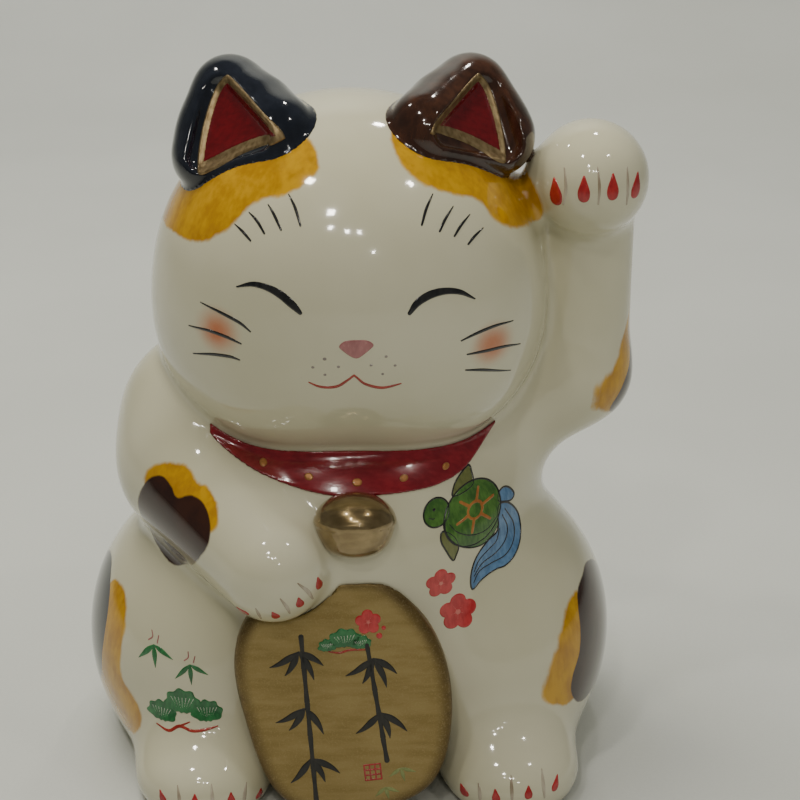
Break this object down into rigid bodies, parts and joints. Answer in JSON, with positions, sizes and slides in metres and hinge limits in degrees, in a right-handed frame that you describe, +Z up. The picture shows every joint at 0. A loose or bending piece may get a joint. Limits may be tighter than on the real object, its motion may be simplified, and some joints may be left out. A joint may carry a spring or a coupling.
{
  "type": "beckoning cat figurine",
  "caption": "Seated ceramic cat with one paw raised beside its head and the other on an oval gold tablet, with collar, bell, coin slot in the back of the head and a stopper in the base.",
  "frame": {"origin": "on the flat base, on the cat's line of symmetry, under the middle of the belly", "axes": "+Z up through the head, -Y the way the cat looks, +X toward the raised arm (the cat's left)"},
  "size_m": [0.1434, 0.1168, 0.179],
  "materials": {
    "glazed_clay": "warm ivory gloss glaze",
    "black_glaze": "gloss blue-black enamel over glaze",
    "brown_glaze": "gloss dark brown enamel over glaze",
    "red_enamel": "gloss crimson enamel over glaze",
    "gold_enamel": "brushed antique gold paint on glazed clay",
    "soft_rubber": "soft translucent-looking white rubber"
  },
  "bodies": {
    "cat": {"torso_casting": "glazed_clay", "head_casting": "glazed_clay", "right_ear": "black_glaze", "left_ear": "brown_glaze", "raised_arm": "glazed_clay", "resting_arm": "glazed_clay", "right_hind_leg": "glazed_clay", "left_hind_leg": "glazed_clay", "tail": "black_glaze", "tablet": "gold_enamel", "collar": "red_enamel", "collar_studs": "gold_enamel", "bell": "gold_enamel"},
    "stopper": {"base_stopper": "soft_rubber"}
  },
  "joints": [
    {"name": "stopper_pull", "type": "slide", "parent": "cat", "child": "stopper", "axis": [0, 0, -1], "range_m": [0, 0.02]}
  ]
}
